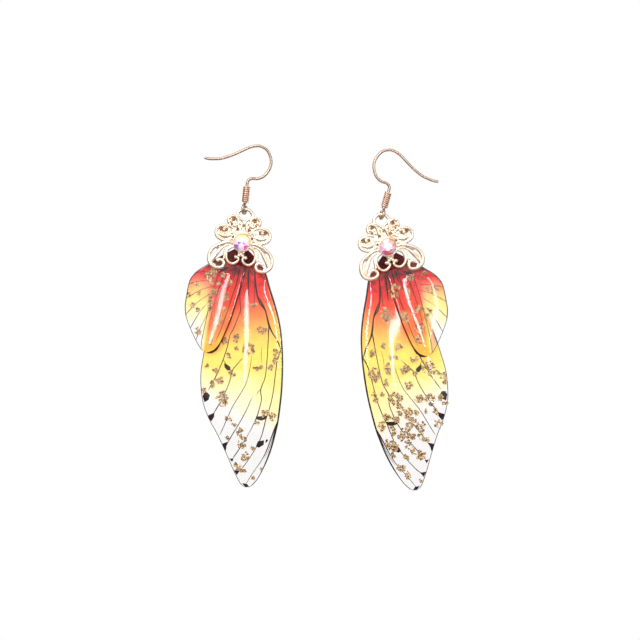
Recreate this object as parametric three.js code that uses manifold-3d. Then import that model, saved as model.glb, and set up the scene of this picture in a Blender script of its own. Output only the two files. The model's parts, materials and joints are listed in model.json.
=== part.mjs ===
// A pair of fairy-wing drop earrings, hanging as they are worn.
// Millimetres, +Z up, +X to the viewer's right, front towards -Y.
// The origin is under the crown of the left ear wire, where the ear lobe carries it.
import * as THREE from "three";
import { mergeVertices } from "three/addons/utils/BufferGeometryUtils.js";
import Module from "manifold-3d";

const wasm = await Module();
wasm.setup();

// ---- Driving dimensions ---------------------------------------------------------------
// Ear wire and its coil
const WIRE_R = 0.375; // round wire, 0.75 thick
const HOOK_RISE = 10.8; // coil top to the crown of the hook
const STEM_CLEAR = 0.1; // eye to where the stem runs straight
const HOOK_BACK = 5.6; // stem out to the back of the crown
const ARM_REACH = 11.9; // stem out to the tip of the long arm
const EYE_TWIST = 20; // degrees the eye is turned from square to the cap
const COIL_WIRE_R = 0.22;
const COIL_TURNS = 8;
const COIL_GAP = 0.06; // air between two turns
const COIL_PLAY = 0.15; // coil to stem, all round
const COIL_TAIL = 0.5; // cut end that stands off the top turn
const TAIL_ASIDE = 0.05;

// Stamped cap
const SHEET = 0.6; // thickness of the stamping
const ARCH_HOLE_R = 1.6; // hole of the top arch, which the eye passes through
const ARCH_BAND = 0.9;
const BAND = 0.75; // width of the heavy scroll bands
const FINE_BAND = 0.55; // width of the light scroll bands
const LINK_PLAY = 0.2; // eye to arch band, all round

// Stone and its cup
const STONE_R = 2.1;
const STONE_DROP = 6.8; // arch centre down to the stone's centre
const STONE_CROWN = 0.85;
const STONE_PAVILION = 0.8;
const STONE_GIRDLE = 0.15;
const CUP_WALL = 0.3;
const CUP_FLOOR = 0.2;
const CUP_LIP = 0.25; // cup wall above the foot of the girdle
const STONE_PLAY = 0.06; // stone to cup wall

// Wings: printed film with a domed coat of resin in front and a flat one behind
const FOREWING_LENGTH = 62.4; // root tab to tip
const HINDWING_LENGTH = 28.4;
const HIND_SPLAY = 3.3; // degrees that the left hindwing is glued outwards, and the right one inwards
const ROOT_DROP = 8.6; // arch centre down to the top of the root tabs
const FILM = 0.15;
const BACK_COAT = 0.2;
const RIM_COAT = 0.12; // front resin at the edge of a wing
const FORE_DOME = 0.6; // front resin at its thickest
const HIND_DOME = 0.4;
const PAD_CLEAR = 0.7; // glue pad to the start of the resin
const GLUE = 0.5; // cap to hindwing
const WING_AIR = 0.1; // back of the hindwing to the forewing's dome
const PAD_R = 1.7; // glue pads
const PAD_ASIDE = 0.1; // pads towards the trailing edge
const PAD_DROP = 2; // top of the root tabs down to the middle of the pads

// The pair
const PAIR_APART = 34.25; // crown to crown
const PAIR_DROP = 1.0; // the right crown is a little lower

// ---- Sizes that follow ----------------------------------------------------------------
const EYE_HOLE_R = Math.hypot(ARCH_BAND, SHEET) / 2 + LINK_PLAY;
const EYE_R = EYE_HOLE_R + WIRE_R;
const ARCH_MID_R = ARCH_HOLE_R + ARCH_BAND / 2; // the eye's centre sits in the arch's band
const COIL_R = WIRE_R + COIL_PLAY + COIL_WIRE_R;
const COIL_PITCH = 2 * COIL_WIRE_R + COIL_GAP;
const STEM_START = EYE_R + WIRE_R + STEM_CLEAR; // above the eye's centre, where the stem runs straight
const COIL_BASE = STEM_START + COIL_WIRE_R + COIL_GAP;
const COIL_TOP = COIL_BASE + COIL_TURNS * COIL_PITCH + COIL_WIRE_R;
const SHEET_BACK = SHEET / 2;
const HIND_FILM = SHEET_BACK + GLUE; // front face of the hindwing's film
const HIND_BACK = HIND_FILM + FILM;
const FORE_FILM = HIND_BACK + BACK_COAT + WING_AIR + FORE_DOME;
const FORE_BACK = FORE_FILM + FILM;
const CUP_R = STONE_R + STONE_PLAY + CUP_WALL;
const BARE_TAB = PAD_DROP + PAD_R + PAD_CLEAR; // film left bare for the glue, from the top of a tab

const rad = THREE.MathUtils.degToRad;

// ---- Finishes -------------------------------------------------------------------------
const finish = (color, roughness, metalness, opacity = 1) =>
  new THREE.MeshStandardMaterial({ color, roughness, metalness, opacity, transparent: opacity < 1 });
const ROSE_GOLD = finish(0xd9a184, 0.3, 1);
const PALE_GOLD = finish(0xead2a0, 0.28, 1);
const STONE = finish(0xf3c9de, 0.05, 0, 0.6);
const PRINT = finish(0xe8731f, 0.4, 0, 0.8);
const RESIN = finish(0xfff6e0, 0.05, 0, 0.3);
const ADHESIVE = finish(0xd8c9a8, 0.3, 0, 0.6);

// ---- Helpers --------------------------------------------------------------------------
function solidOf(geometry) {
  const bare = geometry.clone();
  bare.deleteAttribute("normal");
  bare.deleteAttribute("uv");
  const merged = mergeVertices(bare, 1e-5);
  return new wasm.Manifold(
    new wasm.Mesh({
      numProp: 3,
      vertProperties: Float32Array.from(merged.attributes.position.array),
      triVerts: Uint32Array.from(merged.index.array),
    }),
  );
}

function geometryOf(solid) {
  const mesh = solid.getMesh();
  const geometry = new THREE.BufferGeometry();
  geometry.setAttribute("position", new THREE.BufferAttribute(mesh.vertProperties, 3));
  geometry.setIndex(new THREE.BufferAttribute(mesh.triVerts, 1));
  return geometry;
}

const joined = (geometries) => geometryOf(geometries.map(solidOf).reduce((sum, next) => sum.add(next)));

// The right earring is the left one seen in a mirror: X changes sign and each triangle turns round.
function handed(geometry, side) {
  const copy = mergeVertices(geometry.clone().deleteAttribute("normal").deleteAttribute("uv"), 1e-5);
  if (side > 0) return copy;
  copy.scale(-1, 1, 1);
  const corners = copy.index.array;
  for (let i = 0; i < corners.length; i += 3) {
    [corners[i], corners[i + 1]] = [corners[i + 1], corners[i]];
  }
  return copy;
}

const regularPolygon = (radius, sides) =>
  new THREE.Shape(
    Array.from({ length: sides }, (_, i) => {
      const turn = (2 * Math.PI * (i + 0.5)) / sides;
      return new THREE.Vector2(radius * Math.cos(turn), radius * Math.sin(turn));
    }),
  );

const wireAlong = (points, radius, sides, steps) =>
  new THREE.ExtrudeGeometry(regularPolygon(radius, sides), {
    steps,
    extrudePath: new THREE.CatmullRomCurve3(points, false, "centripetal"),
  });

// A flat plate of the shape drawn in X and Z, between two depths.
function plate(shape, front, back, curveSegments = 12) {
  const depth = back - front;
  const geometry = new THREE.ExtrudeGeometry(shape, { depth, bevelEnabled: false, curveSegments });
  return geometry.rotateX(Math.PI / 2).translate(0, back, 0);
}

// ---- Ear wire -------------------------------------------------------------------------
// Local frame: origin at the eye's centre, Z up the stem, the arm towards -X.
const EYE_END = 40; // degrees from the top where the eye's cut end stops short of the stem
const EYE_LEAVE = 322; // degrees round where the wire leaves the eye for the stem
const EYE_STEP = 28.2;

// The hook's route as shares of HOOK_BACK (or of ARM_REACH once it is negative) and of HOOK_RISE.
const HOOK_ROUTE = [
  [0.0, 0.04], [0.03, 0.13], [0.16, 0.19], [0.46, 0.205], [0.71, 0.27], [0.9, 0.4], [1.0, 0.54],
  [1.0, 0.68], [0.9, 0.82], [0.73, 0.935], [0.42, 1.0], [0.2, 0.99], [-0.02, 0.95], [-0.17, 0.855],
  [-0.33, 0.75], [-0.49, 0.66], [-0.63, 0.6], [-0.77, 0.57], [-0.92, 0.56], [-1.0, 0.574],
];
const CROWN = new THREE.Vector3(0.42 * HOOK_BACK, 0, COIL_TOP + HOOK_RISE - WIRE_R);

function earWirePoints() {
  const acrossEye = new THREE.Vector3(Math.sin(rad(EYE_TWIST)), Math.cos(rad(EYE_TWIST)), 0);
  const inEye = (across, up) => acrossEye.clone().multiplyScalar(across).setZ(up);
  const points = [];
  for (let angle = EYE_END; angle <= EYE_LEAVE; angle += EYE_STEP) {
    points.push(inEye(EYE_R * Math.sin(rad(angle)), EYE_R * Math.cos(rad(angle))));
  }
  points.push(inEye(-0.12 * EYE_R, STEM_START - WIRE_R / 2));
  points.push(inEye(0, STEM_START + WIRE_R));
  points.push(new THREE.Vector3(0, 0, (COIL_BASE + COIL_TOP) / 2));
  points.push(new THREE.Vector3(0, 0, COIL_TOP));
  for (const [along, height] of HOOK_ROUTE) {
    const x = along > 0 ? along * HOOK_BACK : along * ARM_REACH;
    points.push(new THREE.Vector3(x, 0, COIL_TOP + height * HOOK_RISE));
  }
  return points;
}

const earWire = () => wireAlong(earWirePoints(), WIRE_R, 8, 84);

function earWireCoil() {
  const stepsPerTurn = 12;
  const points = [];
  for (let step = 0; step <= COIL_TURNS * stepsPerTurn; step += 1) {
    const turn = (2 * Math.PI * step) / stepsPerTurn;
    const z = COIL_BASE + (COIL_PITCH * step) / stepsPerTurn;
    points.push(new THREE.Vector3(COIL_R * Math.cos(turn), COIL_R * Math.sin(turn), z));
  }
  const last = points.at(-1);
  points.push(new THREE.Vector3(last.x + TAIL_ASIDE, last.y + COIL_TAIL, last.z + COIL_GAP));
  return wireAlong(points, COIL_WIRE_R, 6, points.length - 1);
}

// ---- Stamped cap ----------------------------------------------------------------------
// Local frame of a pendant: origin at the arch's centre, Z up, X towards the forewing's leading edge.
function ribbon(points, width, steps) {
  const curve = new THREE.SplineCurve(points.map(([x, z]) => new THREE.Vector2(x, z)));
  const left = [];
  const right = [];
  for (let i = 0; i <= steps; i += 1) {
    const at = curve.getPointAt(i / steps);
    const along = curve.getTangentAt(i / steps);
    const out = new THREE.Vector2(-along.y, along.x).multiplyScalar(width / 2);
    left.push(at.clone().add(out));
    right.push(at.clone().sub(out));
  }
  return new THREE.Shape([...right, ...left.reverse()]);
}

// Points on a spiral that winds from one radius to another about a centre.
function spiral(x, z, fromR, toR, fromAngle, toAngle, count) {
  return Array.from({ length: count + 1 }, (_, i) => {
    const r = THREE.MathUtils.lerp(fromR, toR, i / count);
    const angle = rad(THREE.MathUtils.lerp(fromAngle, toAngle, i / count));
    return [x + r * Math.cos(angle), z + r * Math.sin(angle)];
  });
}

const disc = (x, z, radius) => {
  const shape = new THREE.Shape();
  shape.absellipse(x, z, radius, radius, 0, 2 * Math.PI);
  return shape;
};

function archRing() {
  const ring = disc(0, 0, ARCH_HOLE_R + ARCH_BAND);
  ring.holes.push(disc(0, 0, ARCH_HOLE_R));
  return plate(ring, -SHEET_BACK, SHEET_BACK, 10);
}

// One half of the scrollwork, for X > 0; the other half is its mirror image.
function scrollShapes() {
  const seat = -STONE_DROP;
  const neck = ribbon([[0.75, -1.9], [1.0, -3.1], [1.5, seat + 2.1]], BAND, 3);
  const upper = ribbon([[1.5, -3.7], ...spiral(3, -1.5, 1.15, 0.75, 190, -70, 6)], FINE_BAND, 13);
  const lobe = ribbon([[2.7, -2.8], ...spiral(5.2, -4.7, 1.85, 1.85, 130, -110, 6), [2.3, seat]], BAND, 15);
  const lobeHook = ribbon([[1.4, -3.5], [2.8, -4.2], [3.8, -5.1], [4.8, -5.3], [5.2, -4.2]], FINE_BAND, 8);
  const loop = ribbon([[1.7, seat - 1.9], ...spiral(2.35, -10.6, 1.78, 1.2, 80, -195, 7)], FINE_BAND, 17);
  const outerCurl = spiral(6.2, -11.5, 2.15, 1.9, 45, -150, 6);
  const arm = ribbon([[2.2, seat - 0.4], [3.7, -7.3], [5.6, -8], ...outerCurl], BAND, 18);
  const innerEnd = [[4.9, -9.2], [5.4, -10.4], [5.5, -12]];
  const innerArm = ribbon([[2.2, seat - 1.1], [3.8, -8.3], ...innerEnd], FINE_BAND, 6);
  const leaf = ribbon([[4.6, -8.2], [5.9, -9.5], [6.8, -11.2], [7.6, -12.6]], BAND, 4);
  const bands = [neck, upper, lobe, lobeHook, loop, arm, innerArm, leaf];
  const upperBeads = [disc(3.5, -2.05, 0.5), disc(5.15, -4, 0.45)];
  const lowerBeads = [disc(1.35, -10.3, 0.45), disc(5.3, -12.6, 0.85)];
  return [
    ...bands.map((shape) => plate(shape, -SHEET_BACK, SHEET_BACK)),
    ...[...upperBeads, ...lowerBeads].map((shape) => plate(shape, -SHEET_BACK, SHEET_BACK, 4)),
  ];
}

function filigreeCap() {
  const half = joined(scrollShapes());
  const seat = plate(disc(0, -STONE_DROP, CUP_R), -SHEET_BACK, SHEET_BACK, 12);
  const flower = plate(ribbon([[0, -STONE_DROP - 2], [0, -12]], BAND, 1), -SHEET_BACK, SHEET_BACK);
  return joined([archRing(), seat, flower, half, handed(half, -1)]);
}

// ---- Stone and cup --------------------------------------------------------------------
// Lathe profiles are [radius, distance in front of the cap], turned to face -Y.
function turned(profile, segments) {
  const points = profile.map(([radius, height]) => new THREE.Vector2(radius, height));
  const geometry = new THREE.LatheGeometry(points, segments);
  return geometry.rotateX(Math.PI).translate(0, -SHEET_BACK, -STONE_DROP);
}

function bezelCup() {
  const inner = CUP_R - CUP_WALL;
  const rim = CUP_FLOOR + STONE_PAVILION + CUP_LIP;
  return turned([[0, 0], [CUP_R, 0], [CUP_R, rim], [inner, rim], [inner, CUP_FLOOR], [0, CUP_FLOOR]], 20);
}

function stone() {
  const culet = CUP_FLOOR + STONE_PLAY;
  const girdle = culet + STONE_PAVILION;
  const crown = girdle + STONE_GIRDLE;
  const table = crown + STONE_CROWN;
  const back = [[0, culet], [0.35 * STONE_R, culet], [STONE_R, girdle], [STONE_R, crown]];
  const front = [[0.82 * STONE_R, crown + STONE_CROWN / 2], [STONE_R / 2, table], [0, table]];
  return turned([...back, ...front], 12);
}

// ---- Wings ----------------------------------------------------------------------------
// Edges run from root tab to tip as [X, share of the wing's length below the top of the tab].
const FOREWING = {
  length: FOREWING_LENGTH,
  trailing: [[-1.4, 0], [-2.9, 0.085], [-4.1, 0.15], [-5.5, 0.25], [-6.3, 0.295], [-6.8, 0.38], [-7.2, 0.47],
    [-7.35, 0.535], [-6.9, 0.597], [-5.9, 0.663], [-3.9, 0.727], [-1.5, 0.783], [0.2, 0.827], [2.4, 0.888],
    [4.1, 0.936], [6.1, 0.984], [7.4, 0.998]],
  leading: [[1.8, 0], [4.6, 0.04], [6.9, 0.085], [8.6, 0.15], [10.35, 0.215], [11.85, 0.28], [12.9, 0.343],
    [13.9, 0.44], [14.55, 0.567], [14.5, 0.695], [14.1, 0.758], [13.45, 0.823], [12.4, 0.888], [10.9, 0.952],
    [9.6, 0.984], [8.6, 0.999]],
};
const HINDWING = {
  length: HINDWING_LENGTH,
  trailing: [[-1.8, 0], [-5.2, 0.09], [-8.5, 0.19], [-10.7, 0.26], [-12.0, 0.33], [-12.45, 0.4], [-12.5, 0.54],
    [-12.4, 0.61], [-11.5, 0.715], [-9.1, 0.855], [-6.8, 0.96], [-5.3, 0.995]],
  leading: [[1.2, 0], [1.9, 0.1], [1.8, 0.19], [1.3, 0.365], [0.8, 0.505], [0.3, 0.63], [-0.3, 0.735],
    [-1.5, 0.89], [-2.9, 0.972], [-4.1, 1]],
};
const STATIONS = 20; // divisions along a wing

function edgeCurves(wing) {
  const curve = (edge) =>
    new THREE.SplineCurve(edge.map(([x, share]) => new THREE.Vector2(x, -ROOT_DROP - share * wing.length)));
  return [curve(wing.trailing), curve(wing.leading)];
}

// One layer of a wing, from bare millimetres below the top of its tab to the tip: a box whose
// corners follow the wing's edges, flat at back, and as thick as thickness(across, along) says.
function wingLayer(wing, back, thickness, across, bare = 0) {
  const [trailing, leading] = edgeCurves(wing);
  const start = bare / wing.length;
  const box = new THREE.BoxGeometry(1, 1, 1, across, STATIONS, 1);
  const at = box.attributes.position;
  for (let i = 0; i < at.count; i += 1) {
    const side = at.getX(i) + 0.5;
    const along = start + (1 - start) * (0.5 - at.getY(i));
    const spot = trailing.getPointAt(along).lerp(leading.getPointAt(along), side);
    const depth = at.getZ(i) > 0 ? back - thickness(side, (along - start) / (1 - start)) : back;
    at.setXYZ(i, spot.x, depth, spot.y);
  }
  return box;
}

const flat = (thickness) => () => thickness;

// Resin is thin at the rim, rises quickly and stays full over the middle of the wing.
const domed = (full) => (side, along) => {
  const acrossRise = Math.sin(Math.PI * side) ** 0.7;
  const endRise = Math.min(1, Math.sin(Math.PI * Math.min(along, 1)) * 2.2);
  return RIM_COAT + (full - RIM_COAT) * acrossRise * Math.max(0, endRise);
};

function gluePad(front, back) {
  return plate(disc(-PAD_ASIDE, -ROOT_DROP - PAD_DROP, PAD_R), front, back, 6);
}

// ---- Assembly -------------------------------------------------------------------------
const earrings = new THREE.Group();

function place(group, name, geometry, material, side) {
  const mesh = new THREE.Mesh(handed(geometry, side), material);
  mesh.name = name;
  group.add(mesh);
}

// side is 1 for the left earring and -1 for its mirror image on the right. Leans are the degrees
// by which a thing's top leans towards +X on the left one, or -X on the right.
function earring(prefix, side, crown, lean) {
  const arch = crown.clone().sub(archToCrown(side, lean));
  const pendant = new THREE.Group();
  pendant.position.copy(arch);
  pendant.rotation.y = side * rad(lean.pendant);
  const hindCoat = HIND_BACK + BACK_COAT;
  const foreCoat = FORE_BACK + BACK_COAT;
  const hindLayer = (back, thickness, across, bare) =>
    splayed(wingLayer(HINDWING, back, thickness, across, bare), side * HIND_SPLAY);
  const pieces = [
    ["filigree_cap", filigreeCap(), PALE_GOLD],
    ["bezel_cup", bezelCup(), PALE_GOLD],
    ["crystal", stone(), STONE],
    ["cap_glue_pad", gluePad(SHEET_BACK, HIND_FILM), ADHESIVE],
    ["hindwing_film", hindLayer(HIND_BACK, flat(FILM), 1), PRINT],
    ["hindwing_front_resin", hindLayer(HIND_FILM, domed(HIND_DOME), 5, BARE_TAB), RESIN],
    ["hindwing_back_resin", hindLayer(hindCoat, flat(BACK_COAT), 1, BARE_TAB), RESIN],
    ["wing_glue_pad", gluePad(HIND_BACK, FORE_FILM), ADHESIVE],
    ["forewing_film", wingLayer(FOREWING, FORE_BACK, flat(FILM), 1), PRINT],
    ["forewing_front_resin", wingLayer(FOREWING, FORE_FILM, domed(FORE_DOME), 6, BARE_TAB), RESIN],
    ["forewing_back_resin", wingLayer(FOREWING, foreCoat, flat(BACK_COAT), 1, BARE_TAB), RESIN],
  ];
  for (const [name, geometry, material] of pieces) {
    place(pendant, `${prefix}_${name}`, geometry, material, side);
  }

  const wire = new THREE.Group();
  wire.position.copy(arch).add(leaned(0, ARCH_MID_R, side, lean.link));
  wire.rotation.y = side * rad(lean.wire);
  place(wire, `${prefix}_ear_wire`, earWire(), ROSE_GOLD, side);
  place(wire, `${prefix}_ear_wire_coil`, earWireCoil(), ROSE_GOLD, side);
  earrings.add(pendant, wire);
}

// The hindwing is glued on with a turn about the middle of its pad.
function splayed(geometry, degrees) {
  const pad = ROOT_DROP + PAD_DROP;
  return geometry.translate(0, 0, pad).rotateY(rad(degrees)).translate(0, 0, -pad);
}

// A step of x and z in a frame whose top leans.
const leaned = (x, z, side, lean) =>
  new THREE.Vector3(side * x, 0, z).applyAxisAngle(new THREE.Vector3(0, 1, 0), side * rad(lean));

// From an arch's centre through the eye's centre to the underside of the crown.
const archToCrown = (side, lean) =>
  leaned(0, ARCH_MID_R, side, lean.link).add(leaned(CROWN.x, CROWN.z, side, lean.wire));

earring("left", 1, new THREE.Vector3(0, 0, 0), { pendant: 6.1, link: -4, wire: 6.3 });
earring("right", -1, new THREE.Vector3(PAIR_APART, 0, -PAIR_DROP), { pendant: 13.7, link: -4, wire: -15.7 });

export default earrings;
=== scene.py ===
"""Looks for a pair of fairy-wing drop earrings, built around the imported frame.

Work is drawn in millimetres in each pendant's own frame, with its origin at the centre of the cap's
top arch, X towards the forewing's leading edge and Z up, and is then set in its place in metres.
"""

import contextlib
import json
import math
import random

import bpy
import numpy as np
from mathutils import Matrix, Vector


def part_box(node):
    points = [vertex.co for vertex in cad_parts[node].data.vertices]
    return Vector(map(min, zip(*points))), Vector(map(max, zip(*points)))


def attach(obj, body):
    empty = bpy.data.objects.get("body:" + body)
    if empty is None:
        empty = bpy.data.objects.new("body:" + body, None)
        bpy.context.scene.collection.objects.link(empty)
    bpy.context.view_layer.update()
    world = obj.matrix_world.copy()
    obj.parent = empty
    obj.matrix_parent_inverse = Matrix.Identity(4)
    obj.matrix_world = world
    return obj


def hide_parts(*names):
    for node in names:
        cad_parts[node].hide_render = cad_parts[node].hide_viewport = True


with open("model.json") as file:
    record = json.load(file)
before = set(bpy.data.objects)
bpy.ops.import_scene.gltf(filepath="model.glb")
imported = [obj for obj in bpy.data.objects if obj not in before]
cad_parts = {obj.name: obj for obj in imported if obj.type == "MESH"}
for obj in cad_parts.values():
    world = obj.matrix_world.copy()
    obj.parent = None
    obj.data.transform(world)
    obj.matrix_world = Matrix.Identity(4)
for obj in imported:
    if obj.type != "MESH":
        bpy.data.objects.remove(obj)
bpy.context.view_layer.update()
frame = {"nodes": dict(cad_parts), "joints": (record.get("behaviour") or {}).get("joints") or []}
MM = 0.001

# ---- Sizes, in millimetres -----------------------------------------------------------------------
STONE_R = 2.1
STONE_DROP = 6.8          # arch centre down to the stone
ROOT_DROP = 8.6           # arch centre down to the top of the wings' root tabs
PAD_DROP = 2.0            # top of a root tab down to the glue pad
PAD_ASIDE = 0.1           # the glue pads sit this far towards the trailing edge
BARE_TAB = 4.4            # root tab left without resin
RIM_COAT = 0.12           # front resin at the edge of a wing
HIND_SPLAY = 3.3          # degrees that the hindwing is glued outwards
SHEET = 0.6               # the cap's stamping
ARCH_R = 2.05             # middle of the arch's band
ARCH_BAND = 0.9
LINK_PLAY = 0.2           # eye to arch band, all round
WIRE_R = 0.375
COIL_WIRE_R = 0.22
INK_DEPTH = 0.02          # the print's thickness
BOND = 0.01               # between two layers' faces


def solid_box(node):
    """Lowest and highest corner of a CAD node, in millimetres."""
    low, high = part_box(node)
    return low / MM, high / MM


# ---- Shader writing ------------------------------------------------------------------------------
class Value:
    """A reading over a surface: sums and products on it add Math nodes."""

    def __init__(self, finish, socket):
        self.finish, self.socket = finish, socket

    def math(self, operation, *terms):
        return self.finish.add("ShaderNodeMath", {"operation": operation}, dict(enumerate(terms)))

    def __add__(self, other):
        return self.math("ADD", self, other)

    def __sub__(self, other):
        return self.math("SUBTRACT", self, other)

    def __rsub__(self, other):
        return self.math("SUBTRACT", other, self)

    def __mul__(self, other):
        return self.math("MULTIPLY", self, other)

    def __truediv__(self, other):
        return self.math("DIVIDE", self, other)

    def __pow__(self, other):
        return self.math("POWER", self, other)

    def held(self, low, high):
        """The reading, kept between two bounds."""
        return self.math("MINIMUM", self.math("MAXIMUM", self, low), high)

    def rise(self, low, high):
        """0 below low and 1 above high, with a smooth step between them."""
        settings = {"interpolation_type": "SMOOTHSTEP"}
        return self.finish.add("ShaderNodeMapRange", settings, {0: self, 1: low, 2: high})

    __radd__ = __add__
    __rmul__ = __mul__


class Finish:
    """A material, or the world, made of nodes."""

    def __init__(self, name, world=None):
        self.owner = world or bpy.data.materials.new(name)
        self.owner.use_nodes = True
        self.tree = self.owner.node_tree
        self.tree.nodes.clear()

    def add(self, kind, settings=None, inputs=None, output=0):
        """A node: its settings first, then what its sockets are given. Returns one of its outputs."""
        node = self.tree.nodes.new(kind)
        for name, setting in (settings or {}).items():
            if name == "stops":
                self.fill_ramp(node.color_ramp, setting)
            else:
                setattr(node, name, setting)
        for key, given in (inputs or {}).items():
            socket = node.inputs[key]
            if isinstance(given, Value):
                self.tree.links.new(given.socket, socket)
            else:
                socket.default_value = given
        return Value(self, node.outputs[output]) if len(node.outputs) else node

    @staticmethod
    def fill_ramp(ramp, stops):
        """A new ramp has two stops already, which take the first two given."""
        for element, (position, colour) in zip(ramp.elements, stops):
            element.position, element.color = position, (*colour, 1)
        for position, colour in stops[2:]:
            ramp.elements.new(position).color = (*colour, 1)

    def drawn_spot(self):
        """Where a point lies in the drawing: X across, then down from the arch, in millimetres."""
        spot = self.add("ShaderNodeAttribute", {"attribute_name": "drawn"}, output="Vector")
        parts = {"Vector": spot}
        across = self.add("ShaderNodeSeparateXYZ", inputs=parts, output="X")
        height = self.add("ShaderNodeSeparateXYZ", inputs=parts, output="Z")
        return spot, across, height * -1

    def object_spot(self):
        return self.add("ShaderNodeTexCoord", output="Object")

    def noise(self, where, scale, detail=2.0, roughness=0.5):
        inputs = {"Vector": where, "Scale": scale, "Detail": detail, "Roughness": roughness}
        return self.add("ShaderNodeTexNoise", inputs=inputs)

    def ramp(self, reading, stops):
        return self.add("ShaderNodeValToRGB", {"stops": stops}, {"Fac": reading})

    def mixed(self, share, first, second, blend="MIX"):
        settings = {"data_type": "RGBA", "blend_type": blend}
        full = {6: first, 7: second, 0: share}
        full.update({k: (*v, 1) for k, v in full.items() if isinstance(v, tuple)})
        return self.add("ShaderNodeMix", settings, full, output=2)

    def bump(self, height, strength, distance):
        inputs = {"Strength": strength, "Distance": distance, "Height": height}
        return self.add("ShaderNodeBump", inputs=inputs)

    def principled(self, inputs):
        return self.surface(self.add("ShaderNodeBsdfPrincipled", inputs=inputs))

    def surface(self, shader):
        self.add("ShaderNodeOutputMaterial", inputs={"Surface": shader})
        return self.owner


def polished_metal(name, bright, deep, roughness, grain, relief, painted_shade=None):
    """Plated metal: a tone that drifts and faint polishing marks. painted_shade is painted shade, the dark
    tone given to a casting's sides and low places, which lie near its middle plane, as if in shadow."""
    f = Finish(name)
    where = f.object_spot()
    drift = f.noise(where, grain, 3)
    marks = f.noise(where, grain * 9, 2)
    colour = f.mixed(drift.rise(0.35, 0.7), bright, deep)
    if painted_shade:
        depth = f.add("ShaderNodeSeparateXYZ", inputs={"Vector": where}, output="Y")
        height = depth.math("ABSOLUTE", depth)
        # Painted shade: the casting's sides and low places, near its middle plane, turn dark brown as if in
        # shadow.
        colour = f.mixed(1 - height.rise(0.02 * MM, 0.16 * MM), colour, painted_shade)
    return f.principled({
        "Base Color": colour,
        "Metallic": 1.0,
        "Roughness": roughness + 0.1 * marks,
        "Normal": f.bump(marks, relief, 0.00003),
    })


# ---- Finishes ------------------------------------------------------------------------------------
# SHADED_RED is the red film behind the cap with the cap's shadow painted in; DEEP_RED, at the cap's lower
# edge, is also darkened with painted shade.
SHADED_RED = (0.10, 0.004, 0.006)
DEEP_RED = (0.26, 0.006, 0.010)
RED = (0.72, 0.016, 0.016)
FLAME = (0.86, 0.085, 0.030)
ORANGE = (0.92, 0.27, 0.060)
AMBER = (0.94, 0.51, 0.085)
YELLOW = (0.93, 0.75, 0.12)
LEMON = (0.93, 0.85, 0.36)
CLEAR = (0.93, 0.85, 0.83)


def printed_film(name, stops, first, last, slant, cover):
    """Tinted film. stops are (millimetres down, colour); cover is the ink's density by the same measure."""
    f = Finish(name)
    spot, across, down = f.drawn_spot()
    cloud = f.noise(spot, 0.16, 3, 0.55) - 0.5
    fine = f.noise(spot, 1.3, 3, 0.6) - 0.5
    reach = slant(across, down) + 7 * cloud + 0.9 * fine
    share = (reach - first) / (last - first)
    tint = f.ramp(share, [((at - first) / (last - first), colour) for at, colour in stops])
    density = f.ramp(share, [((at - first) / (last - first), (level,) * 3) for at, level in cover])
    shade = f.mixed(fine.rise(-0.2, 0.35) * 0.3, tint, (1.0, 0.6, 0.35), "MULTIPLY")
    # Darker blotches towards the root, fading out between 13 and 21 mm down.
    root_blotches = f.noise(spot, 0.75, 3, 0.6).rise(0.46, 0.6) * (1 - down.rise(13, 21)) * 0.85
    paper = f.mixed(root_blotches, shade, (0.30, 0.18, 0.16), "MULTIPLY")
    return f.principled({
        "Base Color": paper,
        "Roughness": 0.45,
        "Specular IOR Level": 0.1,
        # The print glows a little: painted light, standing in for light that comes through the film from
        # behind.
        "Emission Color": paper,
        "Emission Strength": 0.3,
        "Alpha": f.add("ShaderNodeRGBToBW", inputs={"Color": density}),
    })


def forewing_slant(across, down):
    """The warm tints reach further down at the trailing edge, and the yellow at the leading one."""
    return down + across * ((40 - down) * 0.04).held(-0.42, 0.42)


def hindwing_slant(across, down):
    """The inner half stays red and orange down to its end."""
    inner = across.rise(-7.4, -5.2)
    return down + inner * (11.4 - 0.7 * down).held(-30, 0)


def clear_resin(name, ripple):
    """Poured resin: seen straight through, with a glossy, slightly wavy face."""
    f = Finish(name)
    spot, _, _ = f.drawn_spot()
    stretch = f.add("ShaderNodeMapping", inputs={"Vector": spot, "Scale": (1.0, 1.0, 0.3)})
    wave = f.bump(f.noise(stretch, 0.25, 0), ripple, 0.0004)
    facing = f.add("ShaderNodeLayerWeight", inputs={"Blend": 0.5, "Normal": wave}, output="Facing")
    gloss = f.add("ShaderNodeBsdfGlossy", inputs={"Color": (1, 1, 1, 1), "Roughness": 0.05, "Normal": wave})
    through = f.add("ShaderNodeBsdfTransparent", inputs={"Color": (1, 1, 1, 1)})
    share = 0.045 + 0.8 * facing ** 5
    return f.surface(f.add("ShaderNodeMixShader", inputs={0: share, 1: through, 2: gloss}))


def bonded_face(name):
    """Where resin meets film there is no face to see."""
    f = Finish(name)
    return f.surface(f.add("ShaderNodeBsdfTransparent", inputs={"Color": (1, 1, 1, 1)}))


def printing_ink(name):
    f = Finish(name)
    spot, _, _ = f.drawn_spot()
    speckle = f.noise(spot, 2.2, 2)
    colour = f.mixed(speckle.rise(0.35, 0.7), (0.012, 0.006, 0.008), (0.045, 0.016, 0.014))
    return f.principled({
        "Base Color": colour,
        "Roughness": 0.5 + 0.2 * speckle,
        "Specular IOR Level": 0.1,
    })


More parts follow.
